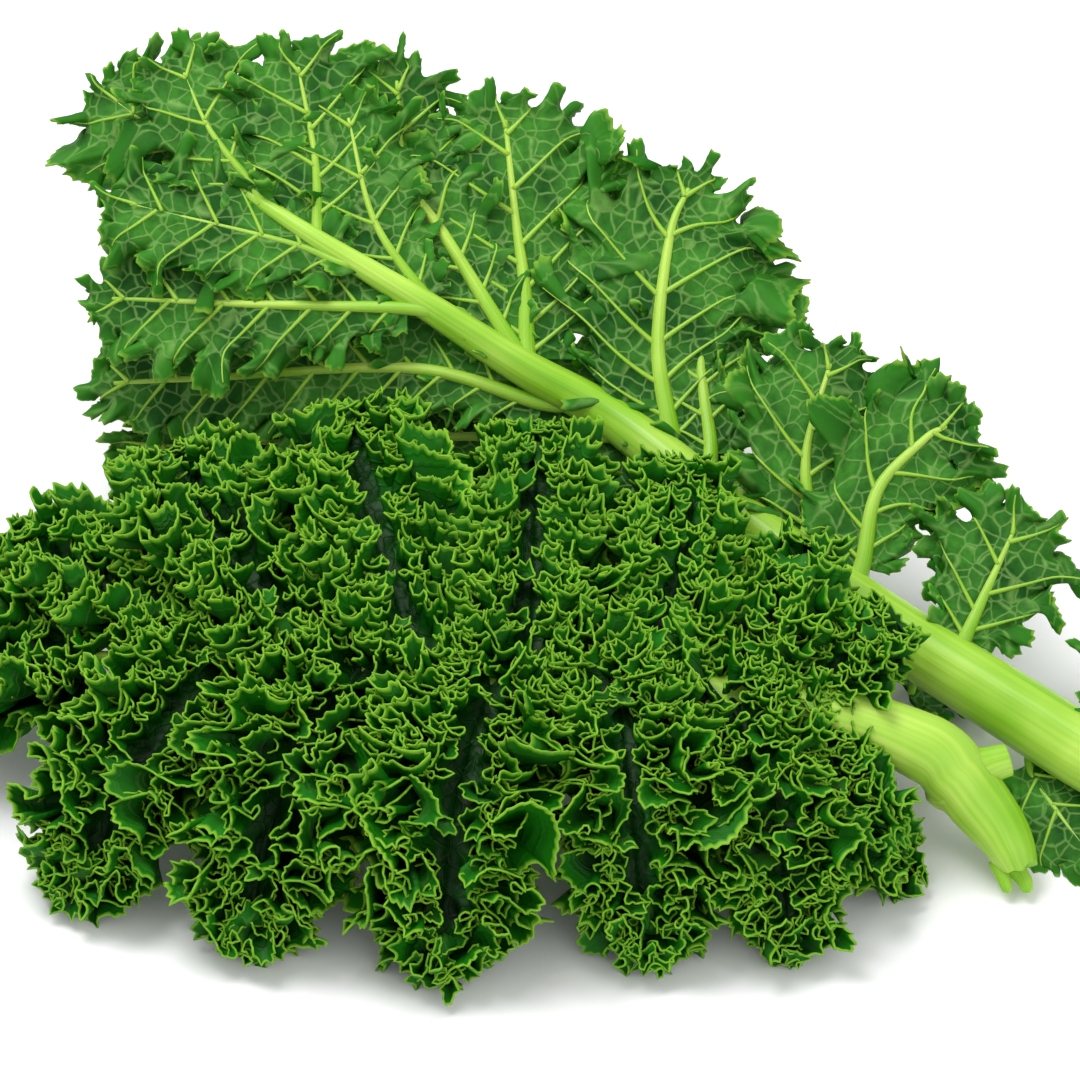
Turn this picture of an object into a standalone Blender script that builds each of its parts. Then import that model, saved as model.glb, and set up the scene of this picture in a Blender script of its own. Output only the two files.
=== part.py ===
"""A bunch of two curly kale leaves, laid on a table, as plain solids at their real size.

Each leaf is one thick stem that runs on as the midrib, and the separate lobes of its blade,
which stand on side ribs along both sides of the midrib. The front leaf lies with its curled
face up. The rear leaf leans back behind it with its veined underside to the front, and its
lower lobes reach the table under the front leaf.

Every lobe is one closed pad along its side rib, as deep as its frills. Lengths are in
millimetres and MM turns them to metres. +Z is up, +Y is away from the front, and the origin
is on the table under the middle of the bunch.
"""

import math

import bmesh
import bpy
from mathutils import Vector

MM = 0.001

# Resolution of the solids.
LOBE_RINGS = 9
LOBE_SIDES = 12
STEM_SIDES = 16
STEM_STEP = 9.0
STEM_FEWEST_RINGS = 4

# How a pad fills out along its rib, from 0 at the base to 1 at the tip.
LOBE_BASE_SHARE = 0.16
LOBE_TIP_SHARE = 0.55
LOBE_FULLEST_AT = 0.68

# Clear space between a lobe's foot and the skin of its stem.
ROOT_GAP = 0.6

# A stem's section is a little wider than it is deep, as a kale stem is.
STEM_FLATNESS = 0.86

FACE_FRONT = Vector((0.0, -0.77, 0.64))
FACE_UP = Vector((0.0, -0.12, 0.99))

# Stem routes: (x, y, z, radius), from the cut end to the tip of the midrib.
FRONT_STEM = [
    (107, -122, 5.5, 5.0),
    (99, -111, 15.0, 7.2),
    (86, -102, 25.0, 8.0),
    (62, -96, 31.0, 6.4),
    (20, -93, 34.0, 4.8),
    (-30, -88, 34.0, 3.4),
    (-78, -77, 29.0, 2.2),
    (-108, -68, 23.0, 1.3),
]
SIDE_STUB = [
    (92, -105, 21.0, 4.6),
    (98, -104, 21.5, 4.2),
    (104, -103, 21.5, 3.8),
]
REAR_STEM = [
    (168, -116, 8.0, 9.0),
    (130, -97, 13.5, 8.4),
    (106, -81, 19.0, 7.9),
    (75, -58, 26.0, 7.2),
    (45, -32, 33.0, 6.2),
    (18, -6, 40.0, 5.0),
    (-5, 4, 49.0, 4.2),
    (-25, 12, 59.0, 3.4),
    (-49, 23, 69.0, 2.5),
    (-67, 35, 74.0, 1.8),
    (-80, 46, 75.0, 1.2),
]

# Lobes: name, route of the side rib from the midrib outwards, full width, depth above and
# below the rib on the side that the leaf's face points to.
FRONT_LOBES = [
    ("near_1", [(62, -107, 26), (72, -119, 17), (78, -121, 7), (83, -122, 4)], 18, 8, 8),
    ("near_2", [(44, -103, 32), (52, -124, 26), (55, -140, 10), (56, -149, 4)], 26, 15, 9),
    ("near_3", [(18, -101, 34), (22, -128, 29), (24, -148, 9), (24, -158, 4)], 30, 17, 9),
    ("near_4", [(-12, -98, 34), (-19, -130, 29), (-22, -154, 9), (-22, -165, 4)], 34, 18, 9),
    ("near_5", [(-42, -92, 33), (-55, -122, 28), (-63, -142, 9), (-66, -153, 4)], 34, 18, 9),
    ("near_6", [(-72, -84, 30), (-90, -108, 24), (-100, -123, 10), (-106, -131, 4)], 32, 16, 9),
    ("far_1", [(66, -87, 33), (74, -80, 36), (82, -76, 36)], 20, 12, 7),
    ("far_2", [(48, -86, 35), (56, -68, 40), (61, -52, 42)], 22, 14, 7),
    ("far_3", [(26, -85, 37), (32, -55, 44), (34, -28, 45)], 25, 16, 8),
    ("far_4", [(-2, -82, 38), (0, -48, 45), (-1, -17, 47)], 29, 17, 8),
    ("far_5", [(-30, -79, 38), (-38, -42, 45), (-44, -10, 46)], 33, 17, 8),
    ("far_6", [(-58, -73, 36), (-75, -46, 41), (-86, -18, 40)], 32, 17, 8),
    ("far_7", [(-84, -65, 31), (-104, -50, 32), (-122, -34, 28)], 26, 16, 9),
    ("tip", [(-110, -69, 22), (-124, -70, 19), (-138, -73, 13)], 34, 16, 8),
]
REAR_LOBES = [
    ("tip", [(-85, 50, 74), (-93, 56, 71), (-101, 62, 67)], 20, 5, 8),
    ("upper_1", [(-67, 43, 80), (-78, 54, 85), (-86, 64, 87)], 16, 5, 8),
    ("upper_2", [(-51, 30, 74), (-57, 44, 86), (-61, 60, 96)], 20, 5, 9),
    ("upper_3", [(-31, 21, 66), (-38, 37, 79), (-42, 58, 89)], 12, 4, 7),
    ("upper_4", [(-10, 13, 56), (-20, 34, 74), (-24, 62, 92)], 17, 4, 9),
    ("upper_5", [(7, 9, 51), (3, 29, 67), (4, 56, 87)], 26, 5, 9),
    ("upper_6", [(28, -6, 43), (29, 14, 58), (34, 45, 77)], 30, 5, 9),
    ("upper_7", [(49, -18, 42), (49, 8, 43), (56, 32, 52)], 18, 4, 8),
    ("upper_8", [(62, -33, 38), (66, -14, 43), (70, 8, 52)], 19, 5, 8),
    ("upper_9", [(77, -47, 34), (86, -30, 40), (96, -13, 46)], 22, 5, 8),
    ("upper_10", [(98, -65, 26), (103, -50, 31), (109, -37, 38)], 26, 4, 7),
    ("upper_11", [(130, -85, 19), (132, -79, 21), (134, -71, 24)], 14, 3, 5),
    ("lower_1", [(-56, 26, 64), (-76, 36, 60), (-98, 46, 56)], 16, 5, 8),
    ("lower_2", [(-36, 14, 54), (-66, 24, 46), (-103, 30, 39)], 18, 5, 9),
    ("lower_3", [(-8, 3, 40), (-52, 16, 30), (-100, 25, 19)], 20, 5, 9),
    ("lower_4", [(12, -7, 31), (-30, 6, 17), (-82, 8, 5)], 16, 5, 6),
    ("lower_5", [(34, -26, 25), (16, -20, 15), (-8, -14, 5)], 16, 5, 6),
    ("lower_6", [(58, -50, 19), (50, -42, 13), (36, -32, 5)], 16, 5, 6),
    ("lower_7", [(84, -68, 8), (89, -62, 6), (92, -54, 4)], 16, 4, 5),
    ("lower_8", [(113, -101, 6), (118, -107, 5), (124, -115, 4)], 20, 4, 5),
]


def material(name, colour, roughness):
    """A Principled material with one colour, linear RGB."""
    made = bpy.data.materials.new(name)
    made.use_nodes = True
    shader = made.node_tree.nodes["Principled BSDF"]
    shader.inputs["Base Color"].default_value = (*colour, 1.0)
    shader.inputs["Roughness"].default_value = roughness
    shader.inputs["Metallic"].default_value = 0.0
    return made


def smooth_route(points, count):
    """count points along a Catmull-Rom curve through the route's own points."""
    points = [Vector(p) for p in points]
    ends = [2 * points[0] - points[1], *points, 2 * points[-1] - points[-2]]
    spans = len(points) - 1
    made = []
    for i in range(count):
        at = i / (count - 1) * spans
        k = min(int(at), spans - 1)
        t = at - k
        a, b, c, d = ends[k : k + 4]
        bend = (2 * a - 5 * b + 4 * c - d) * t * t + (3 * b - a - 3 * c + d) * t**3
        made.append(0.5 * (2 * b + (c - a) * t + bend))
    return made


def tangents(route):
    """The direction of the route at each of its points."""
    last = len(route) - 1
    return [(route[min(i + 1, last)] - route[max(i - 1, 0)]).normalized() for i in range(last + 1)]


def ring(bm, centre, side, face, half_width, above, below, sides):
    """A closed loop of edges on an oval round centre, deeper on one side than on the other.
    Nothing is lower than the table."""
    verts = []
    for i in range(sides):
        angle = 2 * math.pi * i / sides
        depth = above if math.sin(angle) > 0 else below
        point = centre + side * (half_width * math.cos(angle)) + face * (depth * math.sin(angle))
        point.z = max(point.z, 0.0)
        verts.append(bm.verts.new(point * MM))
    return [bm.edges.new((verts[i], verts[(i + 1) % sides])) for i in range(sides)]


def skin(name, sections, sides, finish):
    """One closed body through the sections, each (centre, side, face, half width, above, below)."""
    bm = bmesh.new()
    loops = [ring(bm, *section, sides) for section in sections]
    for first, second in zip(loops, loops[1:]):
        bmesh.ops.bridge_loops(bm, edges=first + second)
    bmesh.ops.edgeloop_fill(bm, edges=loops[0])
    bmesh.ops.edgeloop_fill(bm, edges=loops[-1])
    bmesh.ops.recalc_face_normals(bm, faces=bm.faces)
    mesh = bpy.data.meshes.new(name)
    bm.to_mesh(mesh)
    bm.free()
    mesh.materials.append(finish)
    mesh.shade_smooth()
    mesh.set_sharp_from_angle(angle=math.radians(50))
    made = bpy.data.objects.new(name, mesh)
    bpy.context.collection.objects.link(made)
    return made


def lobe_share(t):
    """Width of a lobe at t along its rib, as a share of its full width: a narrow base, fullest
    past the middle, and a rounded end."""
    if t < LOBE_FULLEST_AT:
        rise = math.sin(0.5 * math.pi * t / LOBE_FULLEST_AT)
        return LOBE_BASE_SHARE + (1 - LOBE_BASE_SHARE) * rise
    fall = (t - LOBE_FULLEST_AT) / (1 - LOBE_FULLEST_AT)
    return LOBE_TIP_SHARE + (1 - LOBE_TIP_SHARE) * math.sqrt(max(0.0, 1 - fall * fall))


def rooted(points, stem_points, foot):
    """The lobe's route with its first point moved to stand just off the skin of the stem. foot is
    the half width of the lobe there, which leans over the stem when the rib leaves it aslant."""
    start, nxt = Vector(points[0]), Vector(points[1])
    spans = list(zip(stem_points, stem_points[1:]))
    nearest = None
    for low, high in spans:
        a, b = Vector(low[:3]), Vector(high[:3])
        share = min(1.0, max(0.0, (start - a).dot(b - a) / (b - a).length_squared))
        on_axis = a.lerp(b, share)
        radius = low[3] + (high[3] - low[3]) * share
        if nearest is None or (start - on_axis).length < (start - nearest[0]).length:
            nearest = (on_axis, radius)
    on_axis, radius = nearest
    outward = (start - on_axis).normalized()
    lean = (nxt - start).normalized().cross(outward).length
    clear = radius + ROOT_GAP + foot * lean
    return [on_axis + outward * clear, *points[1:]]


def lobe(name, points, width, above, below, face, finish, stem_points):
    """One lobe of a blade: a pad along its side rib, flat where it lies on the table."""
    foot = 0.5 * width * LOBE_BASE_SHARE
    route = smooth_route(rooted(points, stem_points, foot), LOBE_RINGS)
    sections = []
    for i, (centre, along) in enumerate(zip(route, tangents(route))):
        share = lobe_share(i / (LOBE_RINGS - 1))
        side = along.cross(face).normalized()
        outward = side.cross(along).normalized()
        depth = 0.12 + 0.88 * share
        half = 0.5 * width * share
        sections.append((centre, side, outward, half, above * depth, below * depth))
    return skin(name, sections, LOBE_SIDES, finish)


def stem(name, points, face, finish):
    """A stem and its midrib: one tapering body, cut square at its foot."""
    centres = [Vector(p[:3]) for p in points]
    length = sum((b - a).length for a, b in zip(centres, centres[1:]))
    route = smooth_route(centres, max(STEM_FEWEST_RINGS, round(length / STEM_STEP)))
    spans = len(points) - 1
    sections = []
    for i, (centre, along) in enumerate(zip(route, tangents(route))):
        at = i / (len(route) - 1) * spans
        k = min(int(at), spans - 1)
        radius = points[k][3] + (points[k + 1][3] - points[k][3]) * (at - k)
        side = along.cross(face).normalized()
        outward = side.cross(along).normalized()
        deep = radius * STEM_FLATNESS
        sections.append((centre, side, outward, radius, deep, deep))
    return skin(name, sections, STEM_SIDES, finish)


def front_leaf(stem_finish, blade_finish):
    """The leaf that lies in front, curled face up, with the torn side rib on its stem."""
    body = stem("front_leaf_stem", FRONT_STEM, FACE_UP, stem_finish)
    stub = stem("side_stub_cutter", SIDE_STUB, FACE_UP, stem_finish)
    stub.hide_render = True
    stub.display_type = "WIRE"
    join = body.modifiers.new("side_stub", "BOOLEAN")
    join.operation = "UNION"
    join.object = stub
    made = [body, stub]
    for name, points, width, above, below in FRONT_LOBES:
        label = f"front_leaf_lobe_{name}"
        made.append(
            lobe(label, points, width, above, below, FACE_UP, blade_finish, FRONT_STEM)
        )
    return made


def rear_leaf(stem_finish, blade_finish):
    """The leaf that leans back behind, underside to the front."""
    made = [stem("rear_leaf_stem", REAR_STEM, FACE_FRONT, stem_finish)]
    for name, points, width, above, below in REAR_LOBES:
        label = f"rear_leaf_lobe_{name}"
        made.append(
            lobe(label, points, width, above, below, FACE_FRONT, blade_finish, REAR_STEM)
        )
    return made


def centre_on_origin(made):
    """Moves the whole bunch so that the origin is on the table, under the middle of its box."""
    shown = [v.co for o in made if not o.hide_render for v in o.data.vertices]
    middle = [0.5 * (min(p[k] for p in shown) + max(p[k] for p in shown)) for k in range(2)]
    floor = min(p.z for p in shown)
    for o in made:
        for v in o.data.vertices:
            v.co -= Vector((*middle, floor))


for old in list(bpy.data.objects):
    bpy.data.objects.remove(old)

STEM_GREEN = material("kale_stem", (0.42, 0.62, 0.10), 0.42)
CURLED_GREEN = material("kale_blade_upper", (0.05, 0.22, 0.02), 0.50)
VEINED_GREEN = material("kale_blade_under", (0.13, 0.33, 0.08), 0.60)

centre_on_origin(front_leaf(STEM_GREEN, CURLED_GREEN) + rear_leaf(STEM_GREEN, VEINED_GREEN))
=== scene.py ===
"""The looks of a bunch of two curly kale leaves, laid one on the other on a pale table.

The rear leaf lies first, its veined underside to the front, and the front leaf lies over it with
its frilled face up. Each leaf is put together as it grew: the stem, then the lobes of its blade.
Lengths are in millimetres in the leaves' own layout, and set_in_place turns them to metres.
"""
import math

import bpy
import numpy as np
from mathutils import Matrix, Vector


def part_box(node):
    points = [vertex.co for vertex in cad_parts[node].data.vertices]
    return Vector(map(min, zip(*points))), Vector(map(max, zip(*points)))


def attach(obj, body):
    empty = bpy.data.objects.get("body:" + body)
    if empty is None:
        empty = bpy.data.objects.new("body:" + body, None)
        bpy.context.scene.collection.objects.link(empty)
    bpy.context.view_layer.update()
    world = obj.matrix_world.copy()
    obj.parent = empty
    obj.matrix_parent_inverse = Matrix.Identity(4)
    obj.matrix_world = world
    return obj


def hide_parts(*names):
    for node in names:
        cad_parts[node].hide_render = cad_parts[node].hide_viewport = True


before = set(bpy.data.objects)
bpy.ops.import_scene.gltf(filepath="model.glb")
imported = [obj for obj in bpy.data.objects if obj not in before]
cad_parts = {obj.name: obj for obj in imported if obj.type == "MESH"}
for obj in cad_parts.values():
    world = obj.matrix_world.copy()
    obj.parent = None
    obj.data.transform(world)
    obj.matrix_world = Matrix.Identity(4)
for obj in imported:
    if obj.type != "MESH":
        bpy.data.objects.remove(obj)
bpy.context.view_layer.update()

# ------------------------------------------------------------------------------------------
# The rear leaf's stem: a fresh kale petiole that runs on as the midrib. It is a stiff, juicy,
# faintly ribbed stalk, round below and slightly flattened, cut square at its foot.
# ------------------------------------------------------------------------------------------
MM = 0.001
STEM_FLATNESS = 0.86
FACE_FRONT = np.array((0.0, -0.77, 0.64))
REAR_STEM = [
    (168, -116, 8.0, 9.0),
    (130, -97, 13.5, 8.4),
    (106, -81, 19.0, 7.9),
    (75, -58, 26.0, 7.2),
    (45, -32, 33.0, 6.2),
    (18, -6, 40.0, 5.0),
    (-5, 4, 49.0, 4.2),
    (-25, 12, 59.0, 3.4),
    (-49, 23, 69.0, 2.3),
    (-67, 35, 74.0, 1.4),
    (-80, 46, 75.0, 0.7),
]
STEM_RINGS = 150
STEM_SIDES = 48
STEM_RIDGES = ((5, 0.012, 0.4), (9, 0.008, 1.3), (14, 0.005, 2.2))


def unit(vectors):
    """The vectors at length 1."""
    return vectors / np.maximum(np.linalg.norm(vectors, axis=-1, keepdims=True), 1e-9)


def along(points, t):
    """Places at t, from 0 to 1, on a smooth curve through the points."""
    points = np.asarray(points, float)
    ends = np.vstack([2 * points[0] - points[1], points, 2 * points[-1] - points[-2]])
    spans = len(points) - 1
    at = np.clip(t, 0, 1) * spans
    k = np.minimum(at.astype(int), spans - 1)
    f = (at - k)[..., None]
    a, b, c, d = ends[k], ends[k + 1], ends[k + 2], ends[k + 3]
    bend = (2 * a - 5 * b + 4 * c - d) * f**2 + (3 * b - a - 3 * c + d) * f**3
    return 0.5 * (2 * b + (c - a) * f + bend)


def stalk(route, radii, face, rings, sides, ridges=(), flatness=STEM_FLATNESS):
    """A closed tapering stalk: the grid of its points, ring by ring, with both ends drawn in."""
    t = np.linspace(0, 1, rings)
    centre = along(route, t)
    radius = np.interp(t, np.linspace(0, 1, len(radii)), radii)
    tangent = unit(np.gradient(centre, axis=0))
    side = unit(np.cross(tangent, face))
    outward = np.cross(side, tangent)
    angle = np.linspace(0, 2 * math.pi, sides, endpoint=False)
    swell = 1 + sum(deep * np.cos(count * angle + turn) for count, deep, turn in ridges)
    ring = radius[:, None] * swell
    across = (ring * np.cos(angle))[..., None] * side[:, None, :]
    deep = (ring * np.sin(angle))[..., None] * outward[:, None, :] * flatness
    grid = centre[:, None, :] + across + deep
    first, last = grid[0], grid[-1]
    caps = [first.mean(0) + (first - first.mean(0)) * share for share in (0.03, 0.5, 0.93)]
    ends = [last.mean(0) + (last - last.mean(0)) * share for share in (0.8, 0.35, 0.03)]
    tail = radius[-1] * tangent[-1]
    ends = [e + tail * push for e, push in zip(ends, (0.5, 0.8, 0.9))]
    return np.concatenate([np.stack(caps), grid, np.stack(ends)])


def fibres(grid):
    """Each point's place along a stalk and round it, laid out in mm for the fibre pattern."""
    middle = grid.mean(1)
    run = np.concatenate([[0], np.cumsum(np.linalg.norm(np.diff(middle, axis=0), axis=1))])
    angle = np.linspace(0, 2 * math.pi, grid.shape[1], endpoint=False)
    spots = np.broadcast_arrays(run[:, None], 6 * np.cos(angle), 6 * np.sin(angle))
    return np.stack(spots, -1)


def wrapped_quads(columns, rows, start=0):
    """Quads of a grid whose rows close on themselves, and the grid steps of each corner."""
    i, j = np.meshgrid(np.arange(columns - 1), np.arange(rows), indexing="ij")
    i, j = i.ravel(), j.ravel()
    steps = [(i, j), (i + 1, j), (i + 1, j + 1), (i, j + 1)]
    quads = np.stack([a * rows + b % rows for a, b in steps], -1) + start
    return quads, steps


class Piece:
    """The points, quads, bake map, marks and finishes of one piece as its parts are added."""

    def __init__(self):
        self.points, self.quads, self.map, self.finish = [], [], [], []
        self.marks = {"upper": [], "rim": [], "flat": []}
        self.count = 0

    def add(self, grid, finish, band, upper=0.0, rim=0.0, flat=None, rows_at=None):
        """Adds a grid of closed rows. band is the strip of the bake map that it takes."""
        columns, rows = grid.shape[:2]
        quads, steps = wrapped_quads(columns, rows, self.count)
        rows_at = np.linspace(0, 1, rows + 1) if rows_at is None else rows_at
        low, high = band
        corner = [
            np.stack([a / (columns - 1), low + (high - low) * rows_at[b]], -1) for a, b in steps
        ]
        self.points.append(grid.reshape(-1, 3))
        self.quads.append(quads)
        self.map.append(np.stack(corner, 1).reshape(-1, 2))
        self.finish.append(np.full(len(quads), finish))
        for name, value in (("upper", upper), ("rim", rim)):
            self.marks[name].append(np.broadcast_to(value, (columns, rows)).reshape(-1))
        flat = grid if flat is None else flat
        self.marks["flat"].append(np.broadcast_to(flat, (columns, rows, 3)).reshape(-1, 3))
        self.count += columns * rows
        for column, turn in ((0, 1), (columns - 1, -1)):
            self.close(rows, column, columns, turn, finish, band)

    def lift_off_table(self):
        """Presses what would reach below the table flat against it."""
        for points in self.points:
            low = points[:, 2] < 0.6
            points[low, 2] = 0.1 + 0.5 * np.exp((points[low, 2] - 0.6) / 0.5)

    def close(self, rows, column, columns, turn, finish, band):
        """Closes one end of the grid that was just added, with quads across its row."""
        start = self.count - columns * rows + column * rows
        k = np.arange(rows // 2 - 1)
        across = np.stack([k, k + 1, rows - 2 - k, rows - 1 - k], -1)
        across = across[across[:, 1] < across[:, 2]]
        self.quads.append((across if turn > 0 else across[:, ::-1]) + start)
        at = np.array([(column / (columns - 1), band[0])])
        self.map.append(np.repeat(at, 4 * len(across), 0))
        self.finish.append(np.full(len(across), finish))


def set_in_place(name, piece, shift, materials):
    """The piece as an object in the frame's metres, shaded smooth, with its marks on it."""
    points = (np.concatenate(piece.points) + shift) * MM
    quads = np.concatenate(piece.quads)
    mesh = bpy.data.meshes.new(name)
    mesh.vertices.add(len(points))
    mesh.loops.add(quads.size)
    mesh.polygons.add(len(quads))
    mesh.vertices.foreach_set("co", points.ravel().astype(np.float32))
    mesh.loops.foreach_set("vertex_index", quads.ravel().astype(np.int32))
    mesh.polygons.foreach_set("loop_start", np.arange(0, quads.size, 4, dtype=np.int32))
    mesh.polygons.foreach_set("material_index", np.concatenate(piece.finish).astype(np.int32))
    mesh.update(calc_edges=True)
    layer = mesh.uv_layers.new(name="OFBake")
    layer.data.foreach_set("uv", np.concatenate(piece.map).ravel().astype(np.float32))
    for mark, kind, field in (("upper", "FLOAT", "value"), ("rim", "FLOAT", "value")):
        made = mesh.attributes.new(mark, kind, "POINT")
        made.data.foreach_set(field, np.concatenate(piece.marks[mark]).astype(np.float32))
    made = mesh.attributes.new("flat", "FLOAT_VECTOR", "POINT")
    made.data.foreach_set("vector", np.concatenate(piece.marks["flat"]).ravel().astype(np.float32))
    mesh.shade_smooth()
    for material in materials:
        mesh.materials.append(material)
    made = bpy.data.objects.new(name, mesh)
    bpy.context.collection.objects.link(made)
    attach(made, "root")
    return made


def linear(code):
    """An sRGB hex colour as linear RGBA."""
    parts = [int(code[i : i + 2], 16) / 255 for i in (1, 3, 5)]
    return (*((c / 12.92 if c <= 0.04045 else ((c + 0.055) / 1.055) ** 2.4) for c in parts), 1.0)


def add(material, kind, settings=None, **links):
    """Adds a node to the material, with its settings and what feeds its sockets."""
    tree = material.node_tree
    node = tree.nodes.new(kind)
    for key, value in (settings or {}).items():
        if key in node.inputs and not hasattr(node, key):
            node.inputs[key].default_value = value
        else:
            setattr(node, key, value)
    for key, source in links.items():
        spot = int(key[1:]) if key[0] == "n" and key[1:].isdigit() else key.replace("_", " ")
        tree.links.new(source, node.inputs[spot])
    return node


def fresh_petiole():
    """Fresh kale petiole: juicy pale-green tissue under a thin waxy skin. It gives a clear lime
    green with fine lengthwise streaks, clouds of paler and greener tissue and a soft satin sheen."""
    made = bpy.data.materials.new("fresh_petiole")
    made.use_nodes = True
    made.node_tree.nodes.clear()
    flat = add(made, "ShaderNodeAttribute", {"attribute_name": "flat"}).outputs["Vector"]
    # Lengthwise fibre bundles about 1.2 mm apart, drawn 40 times as long as they are wide.
    long = add(made, "ShaderNodeMapping", {"Scale": (0.02, 0.8, 0.8)}, Vector=flat)
    streak = add(made, "ShaderNodeTexNoise", {"Scale": 1.0, "Detail": 3.0}, Vector=long.outputs[0])
    # Clouds of paler and greener tissue about 30 mm across.
    cloud = add(made, "ShaderNodeTexNoise", {"Scale": 1 / 30, "Detail": 2.0}, Vector=flat)
    base = add(made, "ShaderNodeValToRGB", {}, Fac=cloud.outputs[0])
    base.color_ramp.elements[0].position = 0.35
    base.color_ramp.elements[0].color = linear("#82b81e")
    base.color_ramp.elements[1].position = 0.65
    base.color_ramp.elements[1].color = linear("#b4d65a")
    dark = add(
        made, "ShaderNodeMapRange", {"From Min": 0.35, "From Max": 0.7}, Value=streak.outputs[0],
    )
    lined = add(
        made, "ShaderNodeMix", {"data_type": "RGBA", "blend_type": "MULTIPLY"},
        Factor=dark.outputs[0], n6=base.outputs[0],
    )
    lined.inputs[7].default_value = linear("#d9ecb4")
    bump = add(
        made, "ShaderNodeBump", {"Strength": 0.25, "Distance": 0.0004}, Height=streak.outputs[0],
    )
    shader = add(
        made, "ShaderNodeBsdfPrincipled",
        {"Roughness": 0.38, "IOR": 1.42, "Subsurface Weight": 0.15, "Subsurface Scale": 0.004,
         "Subsurface Radius": (0.5, 1.0, 0.2)},
        Base_Color=lined.outputs[2], Normal=bump.outputs[0],
    )
    add(made, "ShaderNodeOutputMaterial", {}, Surface=shader.outputs[0])
    return made


FRESH_PETIOLE = fresh_petiole()

rear_stem_grid = stalk(
    [p[:3] for p in REAR_STEM], [p[3] for p in REAR_STEM], FACE_FRONT,
    STEM_RINGS, STEM_SIDES, STEM_RIDGES,
)
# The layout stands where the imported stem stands: both boxes have the same middle and foot.
low, high = (np.array(corner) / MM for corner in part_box("rear_leaf_stem"))
grid_low, grid_high = rear_stem_grid.min((0, 1)), rear_stem_grid.max((0, 1))
LAYOUT_SHIFT = np.array((*(0.5 * (low + high) - 0.5 * (grid_low + grid_high))[:2], 0.0))
rear_stem = Piece()
rear_stem.add(rear_stem_grid, 0, (0.0, 1.0), flat=fibres(rear_stem_grid))
rear_stem = set_in_place("rear_stem", rear_stem, LAYOUT_SHIFT, [FRESH_PETIOLE])
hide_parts("rear_leaf_stem")


# ------------------------------------------------------------------------------------------
# The front leaf's lobes: kale lamina, a waxy sheet about half a millimetre thick. Its margin
# grows several times longer than its middle, so it stands up and gathers into frills.
# ------------------------------------------------------------------------------------------
FACE_UP = np.array((0.0, -0.12, 0.99))
FRILL_ROWS = (0, 0.17, 0.34, 0.49, 0.63, 0.76, 0.88, 0.96, 1)
HALF_THICK = 0.24
MARGIN_STEP = 0.06
# One kind of growth: how a lobe's blade spreads, curls and gathers. Lengths in mm, angles in
# radians. Each fold is (its length along the unruffled margin, its swing, where from the rib
# to the margin it begins, and where it is full).
CURLED = {
    "rows": np.array(FRILL_ROWS), "step": 0.6, "vein_gap": 0, "pucker": 0,
    "lap": 12.0, "foot": 0.85, "fullest": 0.66, "reach": 1.0, "spread": 1.05, "lobing": 0.14,
    "curl": 1.35, "curl_at_tip": 1.0, "curl_from": 0.05, "curl_wander": 0.22, "curl_length": 12.0,
    "folds": ((9.0, 0.85, 0.1, 0.8), (4.2, 1.5, 0.3, 0.9), (2.2, 0.45, 0.6, 1.0)),
    "tooth": 2.5, "tooth_height": 1.35, "tooth_flare": 0.6,
}
MIDDLE = dict(CURLED, lap=11.0, reach=-3.0, curl_at_tip=1.05, spread=1.5)
INNER = dict(CURLED, lap=10.0, reach=-6.0, curl=1.45, curl_at_tip=1.1, spread=2.1)
CREST = dict(CURLED, lap=8.0, reach=-8.0, curl=1.5, curl_at_tip=1.2, spread=4.0)
# The lamina under the frills, nearly flat, closes the leaf from below.
LOWER_ROWS = (0, 0.3, 0.55, 0.75, 0.9, 0.96, 1)
LOWER = dict(
    CURLED, rows=np.array(LOWER_ROWS), step=1.0, lap=14.0, foot=1.0, reach=-1.0, spread=1.0,
    curl=0.3, curl_at_tip=0.2, folds=((9.0, 0.8, 0.3, 0.9), (4.2, 1.35, 0.5, 1.0)),
)


def ease(low, high, x):
    """0 below low, 1 above high, and a smooth rise between."""
    t = np.clip((x - low) / (high - low), 0, 1)
    return t * t * (3 - 2 * t)


def wander(x, length, chance):
    """A smooth aimless rise and fall along x, mostly between -1 and 1."""
    total = 0
    for share, scale in ((0.55, 1.0), (0.4, 0.57), (0.3, 0.33)):
        total = total + share * np.sin(2 * math.pi * x / (length * scale) + chance.uniform(0, 7))
    return total


def wave_mean(swing):
    """The mean of cos(swing * sin(phase)) over a whole wave."""
    q = swing * swing / 4
    return 1 - q + q**2 / 4 - q**3 / 36 + q**4 / 576


def running_mean(values, window):
    """The values' mean over a window of rows, with the ends held."""
    half = window // 2
    padded = np.concatenate([np.repeat(values[:1], half, 0), values, np.repeat(values[-1:], half, 0)])
    total = np.cumsum(np.concatenate([np.zeros_like(padded[:1]), padded]), 0)
    count = len(values)
    return (total[2 * half : 2 * half + count] - total[:count]) / (2 * half)


class SideRib:
    """The side rib that a lobe stands on, run on straight past both of its ends."""

    def __init__(self, route, face):
        centre = along(route, np.linspace(0, 1, 60))
        tangent = unit(np.gradient(centre, axis=0))
        side = unit(np.cross(tangent, face))
        run = np.concatenate([[0], np.cumsum(np.linalg.norm(np.diff(centre, axis=0), axis=1))])
        self.length = run[-1]
        self.at = np.concatenate([[-30], run, [run[-1] + 60]])
        self.centre = np.vstack([centre[0] - 30 * tangent[0], centre, centre[-1] + 60 * tangent[-1]])
        ends = [0, *range(60), 59]
        self.side = side[ends]
        self.up = np.cross(side, tangent)[ends]

    def read(self, table, at):
        """The table's values at these distances along the rib."""
        return np.stack([np.interp(at, self.at, table[:, k]) for k in range(3)], -1)


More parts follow.
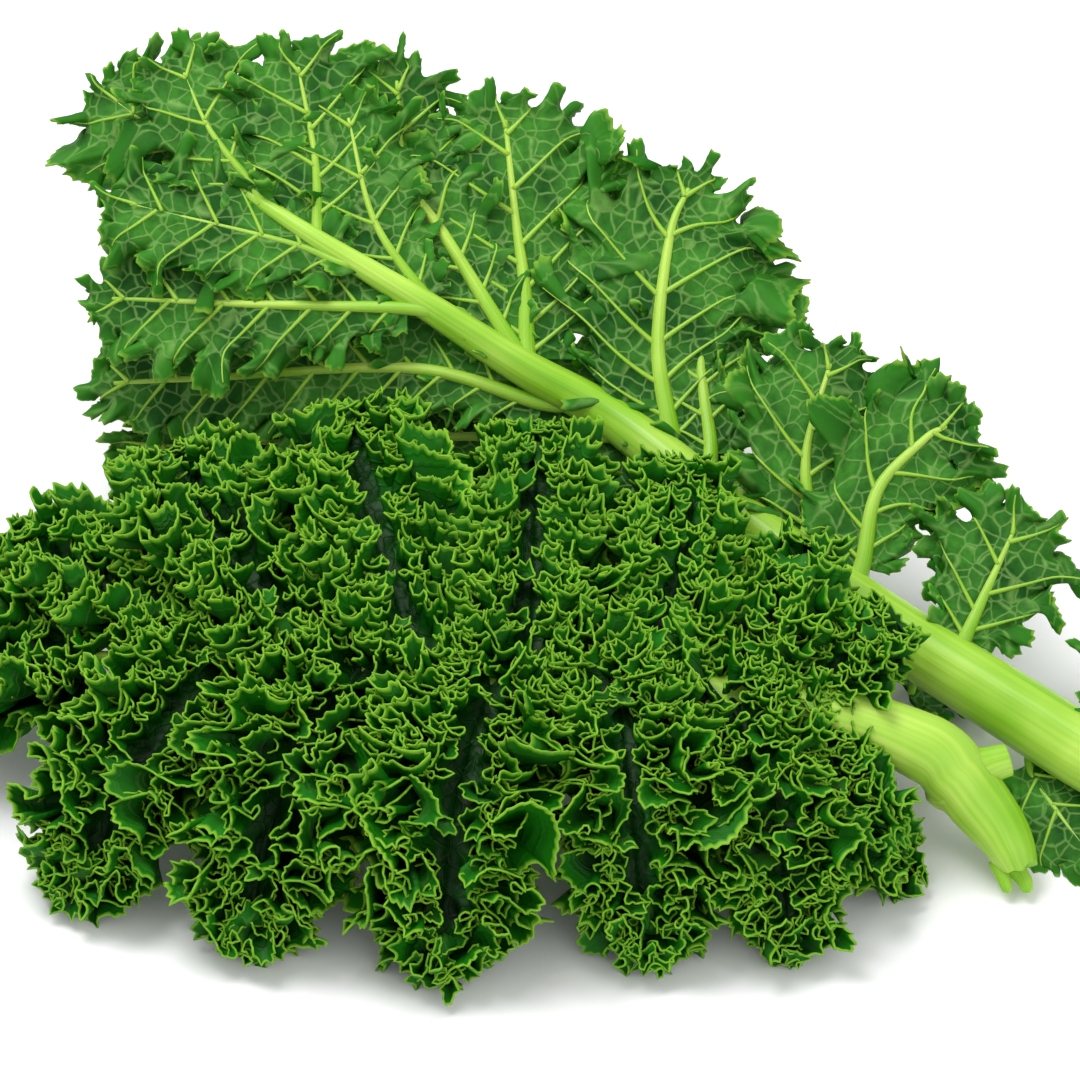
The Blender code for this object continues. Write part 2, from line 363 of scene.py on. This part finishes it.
def outline(rib, half_width, growth):
    """The lobe's margin laid flat, as (along, across) places evenly spaced along it, and the
    distance along it."""
    foot = -growth["lap"]
    full = rib.length + growth["reach"]
    x = np.linspace(0, 1, 500)
    foot_share, fullest = growth["foot"], growth["fullest"]
    rise = foot_share + (1 - foot_share) * np.sin(0.5 * math.pi * np.minimum(x / fullest, 1))
    past = np.maximum(x - fullest, 0) / (1 - fullest)
    fall = np.sqrt(np.clip(1 - past**2, 0, 1))
    s = foot + (full - foot) * x
    half = half_width * rise * fall
    line = np.vstack([np.stack([s, half], -1), np.stack([s, -half], -1)[-2::-1]])
    run = np.concatenate([[0], np.cumsum(np.linalg.norm(np.diff(line, axis=0), axis=1))])
    count = int(run[-1] / MARGIN_STEP)
    margin = np.linspace(0, run[-1], count)
    line = np.stack([np.interp(margin, run, line[:, k]) for k in range(2)], -1)
    return line, margin


def spaced_evenly(table, run, even):
    """The table's columns, which lie at run along the rim, read off again at even."""
    rows = [[np.interp(even, run, row[:, k]) for k in range(3)] for row in table]
    return np.stack(rows).transpose(2, 0, 1)


def blade(route, face, half_width, growth, seed):
    """The middle surface of a lobe's blade as a grid, from one side of its foot round the tip
    to the other (columns) and from the rib to the margin (rows); each point's place on the
    blade laid flat; and the routes of its secondary veins, if it has any."""
    chance = np.random.default_rng(seed)
    rows = growth["rows"]
    rib = SideRib(route, np.asarray(face))
    line, margin = outline(rib, half_width, growth)
    along_rib, across = line[:, 0], line[:, 1]
    # The veins leave the rib at about 50 degrees and fan out round its tip.
    root = along_rib - 0.85 * np.abs(across)
    root = np.clip(root, -growth["lap"] * 0.5, rib.length * 0.97)
    root = running_mean(root, int(6 / MARGIN_STEP))
    way = np.stack([along_rib - root, across], -1)
    reach = np.linalg.norm(way, axis=1)
    way = way / reach[:, None]
    length = reach * growth["spread"] * (1 + growth["lobing"] * wander(margin, 13, chance))
    tipward = way[:, 0] ** 2
    curl = growth["curl"] + (growth["curl_at_tip"] - growth["curl"]) * tipward
    curl = curl + growth["curl_wander"] * wander(margin, growth["curl_length"], chance)
    fine = np.linspace(0, 1, 101)
    turn = curl[None] * ease(growth["curl_from"], 1.05, fine)[:, None]
    out = np.vstack([0 * curl, np.cumsum(0.5 * (np.cos(turn[1:]) + np.cos(turn[:-1])), 0)]) / 100
    rise = np.vstack([0 * curl, np.cumsum(0.5 * (np.sin(turn[1:]) + np.sin(turn[:-1])), 0)]) / 100
    pick = (rows * 100).round().astype(int)
    out, rise = out[pick] * length, rise[pick] * length
    spot = root[None] + way[:, 0] * out
    base = rib.read(rib.centre, spot)
    base = base + rib.read(rib.side, spot) * (way[:, 1] * out)[..., None]
    base = base + rib.read(rib.up, spot) * rise[..., None]
    laid = rows[:, None] * length
    flat = np.stack([root + way[:, 0] * laid, way[:, 1] * laid, 0 * laid + 17.0 * seed], -1)

    # The gathers: along each row the sheet swings to and fro about its own middle line.
    step = np.gradient(base, axis=1)
    pace = np.linalg.norm(step, axis=-1)
    ahead = unit(step)
    normal = unit(np.cross(ahead, np.gradient(base, axis=0)))
    swing = np.zeros_like(pace)
    gain = np.ones_like(pace)
    for wave, reach_of, begin, full in growth["folds"]:
        phase = 2 * math.pi * margin / wave + 0.8 * wander(margin, 4.3 * wave, chance)
        strength = reach_of * (1 + 0.15 * wander(margin, 3.1 * wave, chance))
        grown = ease(begin, full, rows)[:, None] * np.clip(strength, 0, 1.7)
        # Folds lean a little as they rise, so that no two walls are alike.
        lean = 0.8 * (rows[:, None] - 0.6) * wander(margin, 2.3 * wave, chance)
        swing = swing + grown * np.sin(phase + lean)
        gain = gain / wave_mean(grown)
    moved = pace[..., None] * (
        (gain * np.cos(swing) - 1)[..., None] * ahead + (gain * np.sin(swing))[..., None] * normal
    )
    moved = np.cumsum(moved, axis=1)
    window = int(growth["folds"][0][0] * 1.6 / MARGIN_STEP)
    moved = moved - np.swapaxes(running_mean(np.swapaxes(moved, 0, 1), window), 0, 1)
    ends = ease(0, 4, margin) * ease(0, 4, margin[-1] - margin)
    grid = base + moved * ends[None, :, None]
    if growth["vein_gap"]:
        # The blade domes up between its veins, towards its upper face.
        dome = np.abs(np.sin(math.pi * margin / growth["vein_gap"])) ** 0.7 * growth["pucker"]
        arch = np.sin(math.pi * np.clip(rows / 0.9, 0, 1))
        grid = grid - normal * (dome * arch[:, None])[..., None]

    # Teeth: cusped points along the rim, with rounded bays between them.
    run = np.concatenate([[0], np.cumsum(np.linalg.norm(np.diff(grid[-1], axis=0), axis=1))])
    beat = math.pi * run / growth["tooth"] + 1.2 * wander(run, 5 * growth["tooth"], chance)
    tooth = (1 - np.abs(np.sin(beat))) * (1 + 0.35 * wander(run, 4 * growth["tooth"], chance))
    outward = unit(grid[-1] - grid[-4])
    push = ease(0.72, 1.0, rows)[:, None, None] ** 1.3 * growth["tooth_height"]
    # Each point also flares to the outer side of the fold that it stands on.
    turning = np.gradient(unit(np.gradient(grid[-1], axis=0)), run, axis=0)
    tightness = np.linalg.norm(turning, axis=-1, keepdims=True)
    flare = unit(turning + 1e-9) * np.minimum(3 * tightness, 1)
    tips = tooth[:, None] * (outward - growth["tooth_flare"] * flare)
    grid = grid + push * tips[None]

    # Columns evenly spaced along the finished rim.
    columns = int(run[-1] / growth["step"])
    even = np.linspace(0, run[-1], columns)
    veins = []
    if growth["vein_gap"]:
        spots = np.arange(1, int(margin[-1] / growth["vein_gap"])) * growth["vein_gap"]
        skin = unit(np.cross(np.gradient(grid, axis=1), np.gradient(grid, axis=0)))
        veins = [(grid + 1.1 * HALF_THICK * skin)[:, int(spot / MARGIN_STEP)] for spot in spots]
    return spaced_evenly(grid, run, even), spaced_evenly(flat, run, even), veins


def add_blade(piece, grid, flat, rows_of, finish, band):
    """Gives the blade its thickness and a rounded rim, and adds it to the piece."""
    normal = unit(np.cross(np.gradient(grid, axis=1), np.gradient(grid, axis=0)))
    rows = grid.shape[1]
    thick = HALF_THICK * (1 + 0.5 * (1 - rows_of))[None, :, None]
    upper, under = grid + normal * thick, grid - normal * thick
    outward = unit(grid[:, -1] - grid[:, -2]) * HALF_THICK * 0.8
    edge = [grid[:, -1] + outward + normal[:, -1] * HALF_THICK * turn for turn in (-0.5, 0.5)]
    loop = np.concatenate([under, edge[0][:, None], edge[1][:, None], upper[:, ::-1]], 1)
    ramp = np.concatenate([rows_of, [1, 1], rows_of[::-1]])
    side = np.concatenate([np.zeros(rows + 1), np.ones(rows + 1)])
    flats = np.concatenate([flat, flat[:, -1:], flat[:, -1:], flat[:, ::-1]], 1)
    rows_at = np.concatenate([rows_of * 0.48, [0.49, 0.51], 1 - rows_of[::-1] * 0.48, [1.0]])
    piece.add(loop, finish, band, upper=side, rim=ramp, flat=flats, rows_at=rows_at)


def kale_blade(name, upper, under, margin, net_share, hollow_shade, glow_share):
    """Fresh kale lamina. Its upper face is deep green under a thin wax; its underside is paler
    and matt, with a net of raised pale veins. The margin is a thin yellow-green line.

    upper and under are pairs of colours: the lamina's own green, and the deeper green of its
    clouds, which towards the rib also serves as painted shade deep in the hollows of the frills;
    margin is the lamina beside the margin and the line on it. net_share is how strongly the fine
    veins show, the argument after it how far painted shade darkens the lamina towards the rib,
    glow_share how much light comes through the leaf."""
    made = bpy.data.materials.new(name)
    made.use_nodes = True
    made.node_tree.nodes.clear()
    flat = add(made, "ShaderNodeAttribute", {"attribute_name": "flat"}).outputs["Vector"]
    face = add(made, "ShaderNodeAttribute", {"attribute_name": "upper"}).outputs["Fac"]
    place = add(made, "ShaderNodeAttribute", {"attribute_name": "rim"}).outputs["Fac"]
    # Clouds of deeper green about 12 mm across, and a fine mottle of 1.5 mm.
    cloud = add(made, "ShaderNodeTexNoise", {"Scale": 1 / 12, "Detail": 2.0}, Vector=flat)
    mottle = add(made, "ShaderNodeTexNoise", {"Scale": 1 / 1.5, "Detail": 2.0}, Vector=flat)
    shade = add(
        made, "ShaderNodeMapRange", {"From Min": 0.35, "From Max": 0.65}, Value=cloud.outputs[0],
    )
    # Painted shade: the lamina is darkened towards the rib, where it lies deep in the hollows of the
    # frills. Near the margin it is a lighter young green.
    hollow_shade_mask = add(
        made, "ShaderNodeMapRange", {"From Min": 0.8, "From Max": 0.2, "To Max": hollow_shade},
        Value=place,
    )
    clouds_and_hollow_shade = add(
        made, "ShaderNodeMath", {"operation": "MAXIMUM"},
        n0=shade.outputs[0], n1=hollow_shade_mask.outputs[0],
    )
    young = add(
        made, "ShaderNodeMapRange", {"From Min": 0.72, "From Max": 1.0, "To Max": 0.7},
        Value=place,
    )
    # The pale line along the margin comes and goes every 4 mm or so.
    breadth = add(made, "ShaderNodeTexNoise", {"Scale": 1 / 4, "Detail": 1.0}, Vector=flat)
    strong = add(
        made, "ShaderNodeMapRange", {"From Min": 0.35, "From Max": 0.6, "To Min": 0.65},
        Value=breadth.outputs[0],
    )
    line = add(made, "ShaderNodeMapRange", {"From Min": 0.955, "From Max": 0.995}, Value=place)
    edge = add(
        made, "ShaderNodeMath", {"operation": "MULTIPLY"},
        n0=line.outputs[0], n1=strong.outputs[0],
    )
    # The vein net: cells about 3.6 mm across.
    bent = add(made, "ShaderNodeTexNoise", {"Scale": 1 / 5, "Detail": 1.0}, Vector=flat)
    shift = add(
        made, "ShaderNodeVectorMath", {"operation": "MULTIPLY_ADD"},
        n0=bent.outputs["Color"], n2=flat,
    )
    shift.inputs[1].default_value = (2.5, 2.5, 0)
    net = add(
        made, "ShaderNodeTexVoronoi", {"feature": "DISTANCE_TO_EDGE", "Scale": 1 / 3.6},
        Vector=shift.outputs[0],
    )
    vein = add(
        made, "ShaderNodeMapRange",
        {"From Min": 0.01, "From Max": 0.1, "To Min": 1.0, "To Max": 0.0},
        Value=net.outputs["Distance"],
    )
    # The second colour of each pair is the deeper green of the clouds and, towards the rib, painted
    # shade in the frills' hollows.
    tops = add(made, "ShaderNodeMix", {"data_type": "RGBA"}, Factor=clouds_and_hollow_shade.outputs[0])
    tops.inputs[6].default_value = linear(upper[0])
    tops.inputs[7].default_value = linear(upper[1])
    lows = add(made, "ShaderNodeMix", {"data_type": "RGBA"}, Factor=clouds_and_hollow_shade.outputs[0])
    lows.inputs[6].default_value = linear(under[0])
    lows.inputs[7].default_value = linear(under[1])
    faint = add(made, "ShaderNodeMath", {"operation": "MULTIPLY"}, n0=vein.outputs[0])
    faint.inputs[1].default_value = net_share
    veined = add(
        made, "ShaderNodeMix", {"data_type": "RGBA"},
        Factor=faint.outputs[0], n6=lows.outputs[2],
    )
    veined.inputs[7].default_value = linear("#8fbd62")
    both = add(
        made, "ShaderNodeMix", {"data_type": "RGBA"},
        Factor=face, n6=veined.outputs[2], n7=tops.outputs[2],
    )
    speck = add(
        made, "ShaderNodeMapRange",
        {"From Min": 0.3, "From Max": 0.7, "To Min": 0.8, "To Max": 1.15},
        Value=mottle.outputs[0],
    )
    dotted = add(
        made, "ShaderNodeVectorMath", {"operation": "SCALE"},
        n0=both.outputs[2], Scale=speck.outputs[0],
    )
    light = add(
        made, "ShaderNodeMix", {"data_type": "RGBA"},
        Factor=young.outputs[0], n6=dotted.outputs[0],
    )
    light.inputs[7].default_value = linear(margin[0])
    lined = add(
        made, "ShaderNodeMix", {"data_type": "RGBA"},
        Factor=edge.outputs[0], n6=light.outputs[2],
    )
    lined.inputs[7].default_value = linear(margin[1])
    rough = add(made, "ShaderNodeMapRange", {"To Min": 0.65, "To Max": 0.5}, Value=face)
    relief = add(
        made, "ShaderNodeMath", {"operation": "ADD"},
        n0=mottle.outputs[0], n1=vein.outputs[0],
    )
    bump = add(
        made, "ShaderNodeBump", {"Strength": 0.5, "Distance": 0.0003}, Height=relief.outputs[0],
    )
    skin = add(
        made, "ShaderNodeBsdfPrincipled", {"IOR": 1.45, "Specular IOR Level": 0.22},
        Base_Color=lined.outputs[2], Roughness=rough.outputs[0], Normal=bump.outputs[0],
    )
    glow = add(made, "ShaderNodeBsdfTranslucent", {}, Color=lined.outputs[2])
    mixed = add(
        made, "ShaderNodeMixShader", {"Fac": glow_share}, n1=skin.outputs[0], n2=glow.outputs[0],
    )
    add(made, "ShaderNodeOutputMaterial", {}, Surface=mixed.outputs[0])
    return made


# The front leaf's near-black second colours are the clouds' deeper green and the painted shade laid
# on towards the rib, deep in the frills' hollows.
CURLED_BLADE = kale_blade(
    "kale_upper_frill", upper=("#085a02", "#022002"), under=("#14680a", "#063202"),
    margin=("#1c7e06", "#80b62c"), net_share=0.1, hollow_shade=0.8, glow_share=0.12,
)

# Lobes: name, route of the side rib from the midrib outwards, full width.
FRONT_LOBES = [
    ("near_1", [(62, -107, 26), (72, -119, 17), (78, -121, 7), (83, -122, 4)], 18),
    ("near_2", [(44, -103, 32), (52, -124, 26), (55, -140, 10), (56, -149, 4)], 26),
    ("near_3", [(18, -101, 34), (22, -126, 29), (24, -144, 9), (24, -152, 5)], 30),
    ("near_4", [(-12, -98, 34), (-19, -128, 29), (-22, -148, 9), (-22, -157, 5)], 34),
    ("near_5", [(-42, -92, 33), (-55, -120, 28), (-63, -139, 9), (-66, -148, 5)], 34),
    ("near_6", [(-72, -84, 30), (-90, -108, 24), (-100, -123, 10), (-106, -131, 4)], 32),
    ("far_1", [(66, -87, 33), (74, -80, 36), (82, -76, 36)], 20),
    ("far_2", [(48, -86, 35), (56, -68, 40), (61, -52, 42)], 22),
    ("far_3", [(26, -85, 37), (32, -55, 44), (34, -28, 45)], 25),
    ("far_4", [(-2, -82, 38), (0, -48, 45), (-1, -17, 47)], 29),
    ("far_5", [(-30, -79, 38), (-38, -42, 45), (-44, -10, 46)], 33),
    ("far_6", [(-58, -73, 36), (-75, -46, 41), (-86, -18, 40)], 32),
    ("far_7", [(-84, -65, 31), (-104, -50, 32), (-122, -34, 28)], 26),
    ("tip", [(-110, -69, 22), (-124, -70, 19), (-138, -73, 13)], 34),
]
# Each lobe's layers of blade: how far it is shifted, its half width as a share of the lobe's
# width, how it grows, and its strip of the bake map.
LAYERS = (
    ((0, 0, 0), 0.56, CURLED, (0.0, 0.3)),
    ((0, 0.5, -3.0), 0.54, LOWER, (0.3, 0.42)),
    ((0, -0.3, 0.8), 0.31, MIDDLE, (0.42, 0.66)),
    ((0, -0.6, 1.6), 0.16, INNER, (0.66, 0.85)),
    ((0, -0.8, 2.4), 0.065, CREST, (0.85, 1.0)),
)
for seed, (name, route, width) in enumerate(FRONT_LOBES):
    lobe = Piece()
    for layer, (shift, share, growth, band) in enumerate(LAYERS):
        chance = np.random.default_rng(500 + 10 * seed + layer)
        laid = np.array(route, float) + np.array(shift)
        # The upper layers wind a little and lean to one side or the other.
        lean = np.array((0, 0, 0))
        if layer > 1:
            laid[1:] += chance.uniform(-2.5, 2.5, laid[1:].shape) * (1, 1, 0.3)
            lean = chance.uniform(-0.3, 0.3, 3)
        face = unit(FACE_UP + lean)
        grid, flat, _ = blade(laid, face, share * width, growth, seed + 11 + 40 * layer)
        add_blade(lobe, grid, flat, growth["rows"], 0, band)
    lobe.lift_off_table()
    lobe = set_in_place(f"front_lobe_{name}", lobe, LAYOUT_SHIFT, [CURLED_BLADE])
    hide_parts(f"front_leaf_lobe_{name}")


# ------------------------------------------------------------------------------------------
# The rear leaf's lobes: the same lamina seen from below. Each fans out from a stiff pale side
# rib, lies nearly flat between its raised veins, and gathers only near its margin.
# ------------------------------------------------------------------------------------------
FACE_AWAY = np.array((0.0, 0.59, -0.81))
OPEN_ROWS = (0, 0.1, 0.2, 0.31, 0.42, 0.53, 0.64, 0.74, 0.83, 0.91, 0.96, 1)
OPEN = {
    "rows": np.array(OPEN_ROWS), "step": 0.55, "vein_gap": 11.0, "pucker": 0.9,
    "lap": 1.0, "foot": 0.38, "fullest": 0.7, "reach": 6.0, "spread": 1.12, "lobing": 0.16,
    "curl": 0.75, "curl_at_tip": 0.5, "curl_from": 0.5, "curl_wander": 0.6, "curl_length": 26.0,
    "folds": ((10.0, 0.85, 0.5, 0.92), (4.6, 1.4, 0.68, 0.97), (2.4, 0.4, 0.8, 1.0)),
    "tooth": 2.5, "tooth_height": 0.95, "tooth_flare": 0.35,
}
VEINED_BLADE = kale_blade(
    "kale_veined_underside", upper=("#126a05", "#043a02"), under=("#3c8222", "#0f4e08"),
    margin=("#348616", "#82b438"), net_share=0.45, hollow_shade=0.0, glow_share=0.2,
)

# Lobes: name, route of the side rib from the midrib outwards, half width, rib's radius.
REAR_LOBES = [
    ("tip", [(-80, 46, 75), (-90, 54, 79), (-98, 60, 82)], 14, 1.2),
    ("upper_1", [(-66, 36, 76), (-76, 48, 83), (-82, 60, 90)], 13, 1.3),
    ("upper_2", [(-51, 26, 70), (-51.6, 40, 80), (-55.6, 58, 93)], 15, 1.7),
    ("upper_3", [(-26, 14, 61), (-38, 28.5, 71.6), (-44, 48, 86)], 11, 1.6),
    ("upper_4", [(-6, 7, 52), (-22, 28.3, 67.6), (-30.8, 39.9, 76.1), (-33, 58, 89)], 12, 2.0),
    ("upper_5", [(-3, 6, 50), (-3.5, 18.9, 59.7), (-5.6, 32, 69.4), (-8, 51, 83)], 20, 2.3),
    ("upper_6", [(30, -11, 40), (27, 7, 52.5), (29.9, 28, 68), (34, 37, 74)], 20, 2.4),
    ("upper_7", [(39, -15, 39), (37, 8.5, 51.5), (45, 25, 62)], 14, 2.0),
    ("upper_8", [(61, -37, 35), (60.6, -22.8, 45.4), (66, -6, 57)], 15, 2.1),
    ("upper_9", [(73, -48, 33), (76.6, -34, 43.3), (87.3, -24.4, 50.3), (92, -22, 52)], 14, 2.1),
    ("upper_10", [(96, -67, 28), (101.4, -57.3, 35.1), (107, -47, 42)], 14, 1.9),
    ("upper_11", [(127, -88, 21), (129, -82, 25), (131, -76, 29)], 7, 1.0),
    ("lower_1", [(-46, 19, 67), (-58, 24, 69), (-94, 33, 73)], 12, 1.3),
    ("lower_2", [(-31, 11, 60), (-67, 15, 58), (-98, 20, 55.6)], 12, 1.8),
    ("lower_3", [(0, -1, 42), (-29.4, 6, 46.4), (-75.7, 12, 38.6), (-98, 17, 33)], 12, 2.0),
    ("lower_4", [(12, -7, 37), (-30, 2, 29), (-92, 12, 18)], 11, 1.8),
    ("lower_5", [(34, -26, 25), (16, -20, 15), (-8, -14, 7)], 9, 1.5),
    ("lower_6", [(58, -50, 19), (50, -42, 13), (36, -32, 7)], 8, 1.3),
    ("lower_7", [(84, -68, 12), (89, -62, 9), (92, -54, 6)], 8, 1.0),
    ("lower_8", [(110, -90, 9), (116, -102, 6), (122, -112, 4)], 9, 1.1),
]
# Each side rib springs from the midrib, at the point that its own first run heads back to.
midrib = along([p[:3] for p in REAR_STEM], np.linspace(0, 1, 300))
for seed, (name, route, half_width, radius) in enumerate(REAR_LOBES):
    lobe = Piece()
    foot, second = np.array(route[0], float), np.array(route[1], float)
    heading_back = foot + 0.25 * (foot - second)
    joint = midrib[np.argmin(np.linalg.norm(midrib - heading_back, axis=1))]
    grid, flat, veins = blade(route, FACE_AWAY, 1.12 * half_width, OPEN, seed + 101)
    add_blade(lobe, grid, flat, OPEN["rows"], 0, (0.0, 0.9))
    swelling = [1.25 * radius, 0.95 * radius, 0.7 * radius, 0.45 * radius, 0.25 * radius]
    rib = stalk([tuple(joint), *route], swelling, -FACE_AWAY, 48, 12)
    lobe.add(rib, 1, (0.9, 0.94), flat=fibres(rib))
    # The secondary veins fade out a little short of the margin.
    for vein in veins:
        thin = stalk(vein[:10], [0.2 * radius + 0.25, 0.34, 0.16], -FACE_AWAY, 18, 6)
        lobe.add(thin, 1, (0.94, 0.97), flat=fibres(thin))
    lobe.lift_off_table()
    lobe = set_in_place(f"rear_lobe_{name}", lobe, LAYOUT_SHIFT, [VEINED_BLADE, FRESH_PETIOLE])
    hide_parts(f"rear_leaf_lobe_{name}")


# ------------------------------------------------------------------------------------------
# The rear leaf's strip of lamina: it runs on along the midrib, from lobe to lobe, just behind
# it. It is the same sheet as the lobes, narrow and nearly flat, and is grown on at the midrib.
# ------------------------------------------------------------------------------------------
STRIP = dict(
    OPEN, vein_gap=9.0, pucker=0.5, lap=0.5, foot=0.7, reach=2.0, curl=0.1, curl_at_tip=0.1,
    curl_wander=0.3, folds=((10.0, 0.35, 0.6, 0.95), (4.6, 0.7, 0.8, 1.0)), tooth_height=0.6,
)
STRIP_ROUTE = [(62, -43.5, 26.5), (30, -13.5, 33.5), (-5, 7, 45), (-49, 26, 65), (-76, 44, 72)]
strip = Piece()
grid, flat, _ = blade(STRIP_ROUTE, FACE_AWAY, 13.0, STRIP, 190)
add_blade(strip, grid, flat, STRIP["rows"], 0, (0.0, 1.0))
strip = set_in_place("rear_midrib_lamina", strip, LAYOUT_SHIFT, [VEINED_BLADE])


# ------------------------------------------------------------------------------------------
# The front leaf's stem: the same juicy petiole, bent down to its foot, which tore off with
# ragged tags of fibre. It bears the torn stub of one side rib and runs on under the frills.
# ------------------------------------------------------------------------------------------
FRONT_STEM = [
    (107, -121, 6.0, 4.2),
    (105.5, -118.5, 8.6, 5.4),
    (103, -115, 11.5, 6.4),
    (99, -111, 15.0, 7.3),
    (93.5, -106.5, 20.0, 7.9),
    (86, -102, 25.0, 8.2),
    (62, -96, 31.0, 6.4),
    (20, -93, 34.0, 4.8),
    (-30, -88, 34.0, 3.4),
    (-78, -77, 29.0, 2.2),
    (-108, -68, 23.0, 1.3),
]
SIDE_STUB = [
    (104.5, -102.5, 22.0, 3.9),
    (101, -103.5, 21.6, 4.3),
    (97, -105, 20.6, 5.8),
    (92, -107, 18.5, 7.4),
]
# Two short tags of tissue are left where the foot tore off.
TAGS = (
    [(104, -118, 7.0, 2.6), (107.5, -122.5, 4.6, 1.9), (108.5, -124.5, 3.4, 1.5)],
    [(102, -119, 6.5, 2.2), (103.5, -123, 4.2, 1.6), (104, -124.5, 3.2, 1.3)],
)
front_stem_grid = stalk(
    [p[:3] for p in FRONT_STEM], [p[3] for p in FRONT_STEM], FACE_UP,
    STEM_RINGS, STEM_SIDES, STEM_RIDGES,
)
# The foot is torn, not cut: its rim runs out in blunt tags of fibre.
torn_round = np.linspace(0, 2 * math.pi, STEM_SIDES, endpoint=False)
tags = 0.9 * np.cos(3 * torn_round + 0.5) + 0.5 * np.cos(7 * torn_round)
pull = np.exp(-np.arange(14) / 4.0)[:, None, None] * tags[None, :, None]
foot_way = unit(front_stem_grid[3].mean(0) - front_stem_grid[20].mean(0))
front_stem_grid[:14] += pull * foot_way * np.array((0.1, 0.6, 1.0, *[1.0] * 11))[:, None, None]
side_stub_grid = stalk(
    [p[:3] for p in SIDE_STUB], [p[3] for p in SIDE_STUB], FACE_UP, 26, STEM_SIDES, STEM_RIDGES,
)
front_stem = Piece()
front_stem.add(front_stem_grid, 0, (0.0, 0.9), flat=fibres(front_stem_grid))
front_stem.add(side_stub_grid, 0, (0.9, 0.97), flat=fibres(side_stub_grid))
for tag in TAGS:
    tag_grid = stalk([p[:3] for p in tag], [p[3] for p in tag], FACE_UP, 16, 20)
    front_stem.add(tag_grid, 0, (0.97, 1.0), flat=fibres(tag_grid))
front_stem = set_in_place("front_stem", front_stem, LAYOUT_SHIFT, [FRESH_PETIOLE])
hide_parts("front_leaf_stem")


# ------------------------------------------------------------------------------------------
# The table: a plain sheet of white card, much larger than the bunch, which lies loose on it.
# ------------------------------------------------------------------------------------------
def card():
    """Matt white card. It gives an even white ground that takes only soft shadows."""
    made = bpy.data.materials.new("matt_white_card")
    made.use_nodes = True
    shader = made.node_tree.nodes["Principled BSDF"]
    shader.inputs["Base Color"].default_value = linear("#f4f4f4")
    shader.inputs["Roughness"].default_value = 0.9
    return made


bpy.ops.mesh.primitive_plane_add(size=6.0)
floor = bpy.context.object
floor.name = "table"
floor.data.materials.append(card())


# ------------------------------------------------------------------------------------------
# The camera: it looks down at the bunch from the front at 40 degrees, from far off through a
# long lens, so that near and far leaves keep their sizes.
# ------------------------------------------------------------------------------------------
VIEW_ELEVATION = math.radians(40)
CAMERA_DISTANCE = 2.60
aim = LAYOUT_SHIFT * MM
toward = np.array((0.0, -math.cos(VIEW_ELEVATION), math.sin(VIEW_ELEVATION)))
eye = aim + toward * CAMERA_DISTANCE
camera_data = bpy.data.cameras.new("camera")
camera_data.sensor_width = 36.0
camera_data.lens = 36.0 * CAMERA_DISTANCE / 0.25
camera = bpy.data.objects.new("camera", camera_data)
camera.location = eye
camera.rotation_euler = (math.pi / 2 - VIEW_ELEVATION, 0.0, 0.0)
bpy.context.collection.objects.link(camera)
bpy.context.scene.camera = camera


# ------------------------------------------------------------------------------------------
# The light: a large soft key from behind on the left, a weaker fill from the front on the
# right, and an even white surround.
# ------------------------------------------------------------------------------------------
def soft_light(name, place, size, power):
    """A large square softbox at place, turned to the bunch."""
    data = bpy.data.lights.new(name, "AREA")
    data.size = size
    data.energy = power
    made = bpy.data.objects.new(name, data)
    made.location = place
    bpy.context.collection.objects.link(made)
    x, y, z = place
    made.rotation_euler = (math.atan2(math.hypot(x, y), z), 0, math.atan2(-y, -x) - math.pi / 2)
    return made


soft_light("key", (-0.35, 0.25, 1.1), 0.7, 12.0)
soft_light("fill", (0.6, -0.9, 0.7), 1.0, 4.0)
world = bpy.data.worlds.new("studio")
world.use_nodes = True
world.node_tree.nodes["Background"].inputs["Color"].default_value = (1, 1, 1, 1)
world.node_tree.nodes["Background"].inputs["Strength"].default_value = 0.75
bpy.context.scene.world = world
bpy.context.scene.view_settings.view_transform = "Standard"
